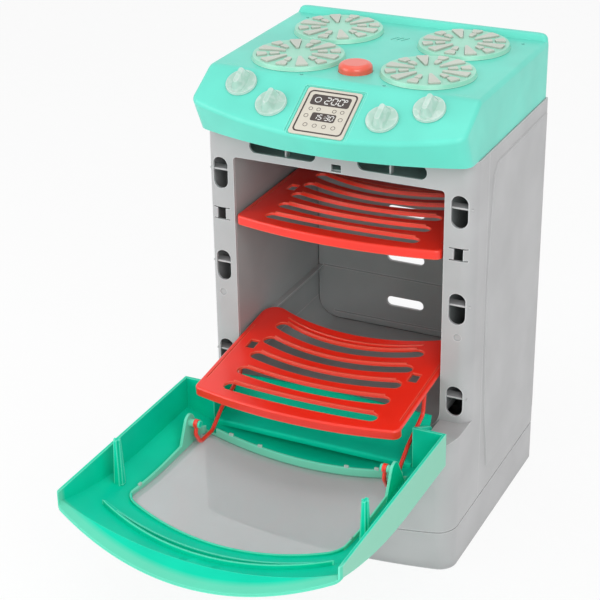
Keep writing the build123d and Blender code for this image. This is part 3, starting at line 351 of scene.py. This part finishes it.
def door_paler_places(nd, links, coords):
    """Mask of the door's paler outer sides, window's bead and peg plates, and of a painted reflection
    along its turned-down lip.
    """
    place = nd.new("ShaderNodeSeparateXYZ")
    links.new(coords, place.inputs["Vector"])
    mirrored = nd.new("ShaderNodeMath")
    mirrored.operation = "ABSOLUTE"
    links.new(place.outputs["X"], mirrored.inputs[0])
    side = mirrored.outputs[0]
    outside = between(nd, links, side, DOOR_HIGH.x - SKIN_BAND, FAR_OUT, soft=0.0002)

    away = nd.new("ShaderNodeCombineXYZ")
    links.new(place.outputs["X"], away.inputs["X"])
    links.new(combine(nd, links, "SUBTRACT", place.outputs["Y"], LIP_CENTRE_Y), away.inputs["Y"])
    reach = nd.new("ShaderNodeVectorMath")
    reach.operation = "LENGTH"
    links.new(away.outputs["Vector"], reach.inputs[0])
    lip_r = LIP_CENTRE_Y - DOOR_LOW.y
    # a band of paler colour round the lip's arc, painted on as the reflection of a rounded lip
    lip = between(nd, links, reach.outputs["Value"], lip_r - LIP_BAND, FAR_OUT, soft=LIP_SOFT)
    lip = combine(nd, links, "MULTIPLY", lip, LIP_REFLECTION_SHARE)

    bead = combine(
        nd, links, "MINIMUM",
        between(nd, links, place.outputs["Y"], BEAD_Y, BEAD_Y + BEAD_DEEP),
        between(nd, links, side, -FAR_OUT, BEAD_X),
    )
    plate = combine(
        nd, links, "MINIMUM",
        between(nd, links, side, PLATE_X, BEAD_X),
        between(nd, links, place.outputs["Y"], WINDOW_FRONT_Y, BEAD_Y),
    )
    inner = combine(nd, links, "MULTIPLY", combine(nd, links, "MAXIMUM", bead, plate), INNER_SHARE)
    return combine(nd, links, "MAXIMUM", outside, lip, inner)


# ---------------------------------------------------------------- materials and who wears them
mint = moulded("lid_mint", LID_MINT, rough=0.36, coat=0.15, specular=0.35, ao=0.10, edge_highlight=LID_HIGHLIGHT)
teal = moulded(
    "door_teal", DOOR_TEAL, rough=0.42, coat=0.0, specular=0.15, ao=0.08,
    edge_highlight=DOOR_HIGHLIGHT, highlight_mm=1.5, paler_places=(DOOR_PALE, door_paler_places),
)
teal_inner = moulded("door_teal_inner", DOOR_TEAL, rough=0.42, coat=0.0, specular=0.15, edge=0.0)
pale = moulded("pale_green", DISC_GREEN, rough=0.36, edge=0.4, ao=0.2, edge_highlight=DISC_HIGHLIGHT, highlight_mm=0.8)
grey = moulded("cabinet_grey", GREY, rough=0.40, grain=0.07, coat=0.12, ao=0.12, edge_highlight=GREY_HIGHLIGHT)
# the inside parts wear a darker copy of the cabinet's grey plastic: painted shade
cavity = moulded("cavity_shaded_grey", CAVITY_SHADED_GREY, rough=0.45, grain=0.07, coat=0.08, ao=0.08, edge_highlight=GREY_HIGHLIGHT)
red = moulded("rack_red", RED, rough=0.30, coat=0.35, ao=0.12, edge=1.8, edge_highlight=RED_HIGHLIGHT, highlight_mm=1.6)
button = moulded("button_red", BUTTON_RED, rough=0.28, coat=0.4, edge_highlight=BUTTON_HIGHLIGHT, highlight_mm=1.0)
beige = moulded("petal_beige", PETAL_BEIGE, rough=0.42, edge=0.5, ao=0.2, edge_highlight=PETAL_HIGHLIGHT, highlight_mm=0.8)
knob = milky("knob_milky", KNOB_CLEAR, KNOB_HIGHLIGHT)
clip_milky = milky("clip_milky", CLIP_CLEAR, CLIP_HIGHLIGHT)
print_cream = moulded("print_cream", CREAM, rough=0.30, grain=0.01, coat=0.3, edge=0.3)
print_dark = moulded("print_dark", DARK_BROWN, rough=0.30, grain=0.01, coat=0.3, edge=0.0)
print_pale = moulded("print_pale", PRINT_WHITE, rough=0.30, grain=0.01, coat=0.3, edge=0.0)
window = clear_plastic("window_clear", SHEET_SHEEN, SHEET_TINT)
dark = moulded("dark_plastic", DARK_GREY, rough=0.45)
steel = brushed("screw_steel", STEEL)
board = moulded("board_green", BOARD_GREEN, rough=0.35, grain=0.02)

looks = {
    "front_frame": grey, "base_plinth": grey, "side_panel_left": grey, "side_panel_right": grey,
    "back_panel": cavity, "liner_left": cavity, "liner_right": cavity,
    "cavity_floor": cavity, "cavity_ceiling": cavity,
    "hob_top": mint, "hob_base": mint, "battery_cover": mint,
    "display_panel": print_cream, "start_button": button,
    "circuit_board": board, "speaker": dark, "battery_box": dark,
    "hob_screws": steel, "back_screws": steel,
    "door_frame": teal, "door_window": window,
    "upper_rack": red, "lower_rack": red, "link_arm_left": red, "link_arm_right": red,
}
for number in range(1, 5):
    looks[f"burner_disc_{number}"] = pale
    looks[f"burner_grate_{number}"] = beige
    looks[f"knob_{number}"] = knob

for name, obj in nodes.items():
    obj.data.materials.clear()
    obj.data.materials.append(looks[name])


# ---------------------------------------------------------------- mesh helpers
ARC_STEPS = 6


def rounded_outline(width, height, radius, x=0.0, y=0.0):
    """Points of a rounded rectangle round a middle, anticlockwise."""
    points = []
    for cx, cy, start in (
        (width / 2 - radius, height / 2 - radius, 0),
        (-width / 2 + radius, height / 2 - radius, 90),
        (-width / 2 + radius, -height / 2 + radius, 180),
        (width / 2 - radius, -height / 2 + radius, 270),
    ):
        for k in range(ARC_STEPS + 1):
            a = math.radians(start + 90 * k / ARC_STEPS)
            points.append((x + cx + radius * math.cos(a), y + cy + radius * math.sin(a)))
    return points


def row_at(mesh, outline, height):
    """A row of points from an outline in millimetres, at a height in metres."""
    return [mesh.verts.new((px * MM, py * MM, height)) for px, py in outline]


def band(mesh, lower, upper):
    """Quads between two closed rows of points."""
    for k in range(len(lower)):
        after = (k + 1) % len(lower)
        mesh.faces.new((lower[k], lower[after], upper[after], upper[k]))


def closed_loft(mesh, rows):
    """Bands from row to row, and a face on the first and on the last."""
    for lower, upper in zip(rows, rows[1:]):
        band(mesh, lower, upper)
    mesh.faces.new(rows[-1])
    mesh.faces.new(rows[0][::-1])


def mesh_object(name, mesh, material):
    """An object in the scene from a finished mesh."""
    data = bpy.data.meshes.new(name)
    mesh.to_mesh(data)
    mesh.free()
    data.materials.append(material)
    obj = bpy.data.objects.new(name, data)
    scene.collection.objects.link(obj)
    return obj


# ---------------------------------------------------------------- print of the display
SLOPE = math.radians(30.3)
PRINT_LIFT = 0.00006
PRINT_THICK = 0.00004
OVERPRINT_LIFT = PRINT_LIFT + 0.00005


def panel_matrix():
    """Frame of the display's face: x to the right, y up the slope, z outwards."""
    low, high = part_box("display_panel")
    up = Vector((0, math.cos(SLOPE), math.sin(SLOPE)))
    out = Vector((0, -math.sin(SLOPE), math.cos(SLOPE)))
    middle = (low + high) / 2
    face_height = max((v.co - middle).dot(out) for v in nodes["display_panel"].data.vertices)
    centre = middle + out * face_height
    return Matrix((
        (1, 0, 0, centre.x),
        (0, up.y, out.y, centre.y),
        (0, up.z, out.z, centre.z),
        (0, 0, 0, 1),
    ))


def print_plates(name, outlines, material, lift, holes=()):
    """Thin printed shapes on the display, from outlines in millimetres, all with holes or all without."""
    mesh = bmesh.new()
    for index, outline in enumerate(outlines):
        top = row_at(mesh, outline, lift + PRINT_THICK)
        low = row_at(mesh, outline, lift)
        if not holes:
            closed_loft(mesh, [low, top])
            continue
        top_in = row_at(mesh, holes[index], lift + PRINT_THICK)
        low_in = row_at(mesh, holes[index], lift)
        rows = [low, top, top_in, low_in]
        for row, following in zip(rows, rows[1:] + rows[:1]):
            band(mesh, row, following)
    obj = mesh_object(name, mesh, material)
    obj.matrix_world = panel_matrix()
    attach(obj, "cabinet")


# Strokes of each seven-segment digit, then sizes as shares of a digit's width, height or stroke.
SEGMENTS = {
    "0": "abcdef", "1": "bc", "2": "abged", "3": "abgcd", "4": "fgbc",
    "5": "afgcd", "6": "afgcde", "7": "abc", "8": "abcdefg", "9": "abcdfg",
}
DIGIT_STEP = 1.45
DIGIT_SLANT = 0.10
STROKE_GAP = 0.55
DOT_PLACE = 0.4
DOT_R = 0.4
DOT_STEP = 0.5


def digit_bars(text, x, y, height, width, stroke):
    """Outlines of seven-segment numbers that start at x, with ':' as two dots."""
    bars = []
    step = width * DIGIT_STEP
    half = height / 2
    gap = stroke * STROKE_GAP

    def bar(x0, y0, x1, y1):
        lean0, lean1 = DIGIT_SLANT * (y0 - y), DIGIT_SLANT * (y1 - y)
        if abs(x1 - x0) > abs(y1 - y0):
            bars.append([
                (x0 + lean0, y0 - stroke / 2), (x1 + lean1, y1 - stroke / 2),
                (x1 + lean1, y1 + stroke / 2), (x0 + lean0, y0 + stroke / 2),
            ])
        else:
            bars.append([
                (x0 - stroke / 2 + lean0, y0), (x0 + stroke / 2 + lean0, y0),
                (x1 + stroke / 2 + lean1, y1), (x1 - stroke / 2 + lean1, y1),
            ])

    for sign in text:
        if sign == ":":
            for dot in (-half * DOT_PLACE, half * DOT_PLACE):
                bars.append(rounded_outline(stroke, stroke, stroke * DOT_R, x, y + dot))
            x += step * DOT_STEP
            continue
        left, right = x - width / 2, x + width / 2
        places = {
            "a": (left + gap, y + half, right - gap, y + half),
            "g": (left + gap, y, right - gap, y),
            "d": (left + gap, y - half, right - gap, y - half),
            "b": (right, y + gap, right, y + half - gap),
            "c": (right, y - half + gap, right, y - gap),
            "f": (left, y + gap, left, y + half - gap),
            "e": (left, y - half + gap, left, y - gap),
        }
        for key in SEGMENTS[sign]:
            bar(*places[key])
        x += step
    return bars


# A radius just short of half the width keeps neighbouring points of a round outline apart.
ROUND_SHARE = 0.999


def ring(x, y, outer, inner):
    """A ring as an outline with its hole."""
    return tuple(rounded_outline(2 * r, 2 * r, r * ROUND_SHARE, x, y) for r in (outer, inner))


# The print's layout, in millimetres on the display's face. Borders and fields are (width, height,
# corner radius), digits are (height, width, stroke), and signs are (x, y, outer radius, inner radius).
BORDER = (53.0, 54.0, 5.0)
BORDER_HOLE = (49.6, 50.6, 3.6)
UPPER_FIELD = (42.0, 13.5, 2.6)
UPPER_FIELD_Y = 15.2
UPPER_DIGITS = (8.0, 5.0, 1.1)
UPPER_DIGITS_X = -3.0
LOWER_FIELD = (26.0, 10.5, 2.0)
LOWER_FIELD_Y = -6.2
LOWER_DIGITS = (6.0, 3.4, 0.85)
LOWER_DIGITS_X = -8.2
DEGREE_SIGN = (16.0, 18.0, 1.7, 1.0)
DIAL_SIGN = (-13.5, UPPER_FIELD_Y, 3.6, 2.8)
UPPER_MARKS_Y = 3.2
LOWER_MARKS_Y = -17.5
UPPER_MARK_R = 2.2
MARK_R = 2.4
MARK_STROKE = 0.55

border, border_hole = rounded_outline(*BORDER), rounded_outline(*BORDER_HOLE)
print_plates("print_border", [border], print_dark, PRINT_LIFT, [border_hole])

upper_field = rounded_outline(*UPPER_FIELD, 0.0, UPPER_FIELD_Y)
lower_field = rounded_outline(*LOWER_FIELD, 0.0, LOWER_FIELD_Y)
print_plates("print_windows", [upper_field, lower_field], print_dark, PRINT_LIFT)

marks = []
for mark_y, mark_r, places in (
    (UPPER_MARKS_Y, UPPER_MARK_R, (-17, -8.5, 8.5, 17)),
    (LOWER_FIELD_Y, MARK_R, (-18.5, 18.5)),
    (LOWER_MARKS_Y, MARK_R, (-15, -5, 5, 15)),
):
    marks += [ring(mark_x, mark_y, mark_r, mark_r - MARK_STROKE) for mark_x in places]
mark_outlines, mark_holes = zip(*marks)
print_plates("print_button_marks", mark_outlines, print_dark, PRINT_LIFT, mark_holes)

upper_digits = digit_bars("200", UPPER_DIGITS_X, UPPER_FIELD_Y, *UPPER_DIGITS)
print_plates("print_digits_top", upper_digits, print_pale, OVERPRINT_LIFT)
lower_digits = digit_bars("15:30", LOWER_DIGITS_X, LOWER_FIELD_Y, *LOWER_DIGITS)
print_plates("print_digits_low", lower_digits, print_pale, OVERPRINT_LIFT)

sign_outlines, sign_holes = zip(ring(*DEGREE_SIGN), ring(*DIAL_SIGN))
print_plates("print_signs_top", sign_outlines, print_pale, OVERPRINT_LIFT, sign_holes)

# ---------------------------------------------------------------- clips of the clear sheet, in millimetres
CLIP_LONG = 5.0
CLIP_ACROSS = 2.6
CLIP_HIGH = 2.4
CLIP_SINK = 0.3
CLIP_BEVEL = 0.5
CLIP_R = 0.7
CLIP_TOP_R = 0.5
FAR_CLIPS_X = (-84.0, -50.0, 84.0, 50.0)
BEAD_LINE_Y = -87.0
BEAD_LINE_X = 116.0
SIDE_CLIP_Y = -222.0
PROBE_Z = 300.0


def clip(name, x, y, along_x):
    """A small clip of the clear sheet that laps over the window's bead."""
    above = Vector((x * MM, y * MM, PROBE_Z * MM))
    hit, place, _, _ = nodes["door_frame"].ray_cast(above, Vector((0, 0, -1)))
    assert hit, name
    length, width = (CLIP_LONG, CLIP_ACROSS) if along_x else (CLIP_ACROSS, CLIP_LONG)
    base = rounded_outline(length, width, CLIP_R)
    crown = rounded_outline(length - 2 * CLIP_BEVEL, width - 2 * CLIP_BEVEL, CLIP_TOP_R)
    mesh = bmesh.new()
    rows = []
    for outline, height in ((base, -CLIP_SINK), (base, CLIP_HIGH - CLIP_BEVEL), (crown, CLIP_HIGH)):
        rows.append(row_at(mesh, outline, height * MM))
    closed_loft(mesh, rows)
    obj = mesh_object(name, mesh, clip_milky)
    obj.location = place
    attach(obj, "door")


for index, clip_x in enumerate(FAR_CLIPS_X):
    clip(f"window_clip_far_{index + 1}", clip_x, BEAD_LINE_Y, True)
clip("window_clip_left", -BEAD_LINE_X, SIDE_CLIP_Y, False)
clip("window_clip_right", BEAD_LINE_X, SIDE_CLIP_Y, False)

# ---------------------------------------------------------------- inner end of the door, in millimetres
INNER_END_HALF = 113.5
INNER_END_THICK = 2.4
INNER_END_COLUMNS = 24
CROWN = 3.0
WALL_FOOT = [(-67.05, 133.5), (-67.45, 135.5)]
SHOULDER_Y = -64.9
SHOULDER_Z = 140.0
SHOULDER_R = 2.8
SHOULDER_STEPS = 6
SWEEP_START_Y = -52.0
SWEEP_END_Y = -13.5
SWEEP_TOP = 168.0
SWEEP_STEPS = 16
SMOOTH_BELOW = math.radians(40)


def inner_end_section():
    """Section of the door's inner end, up its end wall and round the hinge line, as (y, z)."""
    points = list(WALL_FOOT)
    for k in range(SHOULDER_STEPS + 1):
        a = math.radians(180 - 90 * k / SHOULDER_STEPS)
        points.append((SHOULDER_Y + SHOULDER_R * math.cos(a), SHOULDER_Z + SHOULDER_R * (math.sin(a) - 1)))
    for k in range(SWEEP_STEPS + 1):
        a = math.radians(90 * k / SWEEP_STEPS)
        points.append((
            SWEEP_START_Y + (SWEEP_END_Y - SWEEP_START_Y) * math.sin(a),
            SWEEP_TOP - (SWEEP_TOP - SHOULDER_Z) * math.cos(a),
        ))
    return points


def door_inner_end():
    """The wall that goes on from the door's end wall round the hinge line, crowned across its width."""
    path = inner_end_section()
    normals = []
    for k in range(len(path)):
        y0, z0 = path[max(k - 1, 0)]
        y1, z1 = path[min(k + 1, len(path) - 1)]
        reach = math.hypot(y1 - y0, z1 - z0)
        normals.append(((z1 - z0) / reach, -(y1 - y0) / reach))
    mesh = bmesh.new()
    rows = []
    for column in range(INNER_END_COLUMNS + 1):
        x = -INNER_END_HALF + 2 * INNER_END_HALF * column / INNER_END_COLUMNS
        crown = CROWN * (1 - (x / INNER_END_HALF) ** 2)
        near, far = [], []
        for (y, z), (ny, nz) in zip(path, normals):
            lift = crown * max(0.0, (z - SHOULDER_Z) / (SWEEP_TOP - SHOULDER_Z))
            near.append(mesh.verts.new((x * MM, y * MM, (z + lift) * MM)))
            far_y = y + ny * INNER_END_THICK
            far_z = z + nz * INNER_END_THICK + lift
            far.append(mesh.verts.new((x * MM, far_y * MM, far_z * MM)))
        rows.append(near + far[::-1])
    closed_loft(mesh, rows)
    bmesh.ops.recalc_face_normals(mesh, faces=mesh.faces[:])
    for face in mesh.faces:
        face.smooth = True
    for line in mesh.edges:
        line.smooth = line.calc_face_angle(0.0) < SMOOTH_BELOW
    obj = mesh_object("door_inner_end", mesh, teal_inner)
    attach(obj, "door")


door_inner_end()

# ---------------------------------------------------------------- room and floor
scene.view_settings.view_transform = "Standard"
ROOM_LIGHT = 0.55
WHITE = 1.0
FLOOR_HALF = 6.0
FLOOR_WHITE_MIN = 0.84
FLOOR_WHITE_MAX = 0.88


def seen_directly(nd, links):
    """1 for camera, glossy and transmission rays, else 0."""
    path = nd.new("ShaderNodeLightPath")
    rays = [path.outputs[kind] for kind in ("Is Camera Ray", "Is Glossy Ray", "Is Transmission Ray")]
    return combine(nd, links, "MAXIMUM", *rays)


def white_background(nd, strength):
    """A white background shader."""
    shader = nd.new("ShaderNodeBackground")
    shader.inputs["Color"].default_value = (1, 1, 1, 1)
    shader.inputs["Strength"].default_value = strength
    return shader.outputs["Background"]


def studio_room():
    """The room: an even light on the object, and plain white where it is seen."""
    world = bpy.data.worlds.new("studio")
    scene.world = world
    world.use_nodes = True
    nd, links = world.node_tree.nodes, world.node_tree.links
    nd.clear()
    out = nd.new("ShaderNodeOutputWorld")
    light = white_background(nd, ROOM_LIGHT)
    seen = white_background(nd, WHITE)
    links.new(blended(nd, links, seen_directly(nd, links), light, seen), out.inputs["Surface"])


def studio_floor():
    """The floor: mostly white where it is seen, with the object's shadow on the rest."""
    data = bpy.data.meshes.new("floor")
    corners = [(-1, -1), (1, -1), (1, 1), (-1, 1)]
    data.from_pydata([(x * FLOOR_HALF, y * FLOOR_HALF, 0) for x, y in corners], [], [(0, 1, 2, 3)])
    floor = bpy.data.objects.new("floor", data)
    scene.collection.objects.link(floor)
    mat, nd, links, out, shader, coords = new_material("floor")
    shader.inputs["Base Color"].default_value = linear(FLOOR)
    shader.inputs["Roughness"].default_value = 0.7
    shader.inputs["Specular IOR Level"].default_value = 0.2
    glow = nd.new("ShaderNodeEmission")
    glow.inputs["Strength"].default_value = WHITE
    speckle = noise(nd, links, coords, 40.0, 3.0)
    tone = remapped(nd, links, speckle, to_min=FLOOR_WHITE_MIN, to_max=FLOOR_WHITE_MAX)
    white_part = combine(nd, links, "MULTIPLY", tone, seen_directly(nd, links))
    surface = blended(nd, links, white_part, shader.outputs["BSDF"], glow.outputs["Emission"])
    links.new(surface, out.inputs["Surface"])
    data.materials.append(mat)


studio_room()
studio_floor()

# ---------------------------------------------------------------- lamps
LAMP_TARGET = Vector((0.0, -0.05, 0.28))


def lamp(name, place, width, power):
    """A square soft lamp aimed at the oven."""
    data = bpy.data.lights.new(name, "AREA")
    data.size = width
    data.energy = power
    obj = bpy.data.objects.new(name, data)
    scene.collection.objects.link(obj)
    obj.location = place
    obj.rotation_mode = "QUATERNION"
    obj.rotation_quaternion = (LAMP_TARGET - Vector(place)).to_track_quat("-Z", "Y")


lamp("key", (1.5, -2.0, 1.7), 1.8, 34)
lamp("fill", (-1.8, -1.5, 1.2), 1.6, 19)
lamp("top", (0.1, 0.1, 2.4), 1.6, 8)

# ---------------------------------------------------------------- camera
CAM_PLACE = Vector((0.66248, -1.44035, 1.04255))
CAM_AZIMUTH = math.radians(26.09)
CAM_ELEVATION = math.radians(25.85)
CAM_ROLL = math.radians(-0.91)
FOCAL_PIXELS = 1680.53
IMAGE_PIXELS = 600
camera_data = bpy.data.cameras.new("camera")
camera_data.sensor_width = 36.0
camera_data.lens = FOCAL_PIXELS / IMAGE_PIXELS * camera_data.sensor_width
camera_data.clip_start = 0.05
camera_data.clip_end = 50.0
camera = bpy.data.objects.new("camera", camera_data)
scene.collection.objects.link(camera)
scene.camera = camera
forward = Vector((
    -math.sin(CAM_AZIMUTH) * math.cos(CAM_ELEVATION),
    math.cos(CAM_AZIMUTH) * math.cos(CAM_ELEVATION),
    -math.sin(CAM_ELEVATION),
))
level_right = forward.cross(Vector((0, 0, 1))).normalized()
level_up = level_right.cross(forward)
right = level_right * math.cos(CAM_ROLL) + level_up * math.sin(CAM_ROLL)
up = level_up * math.cos(CAM_ROLL) - level_right * math.sin(CAM_ROLL)
turn = Matrix((
    (right.x, up.x, -forward.x),
    (right.y, up.y, -forward.y),
    (right.z, up.z, -forward.z),
))
camera.matrix_world = Matrix.Translation(CAM_PLACE) @ turn.to_4x4()
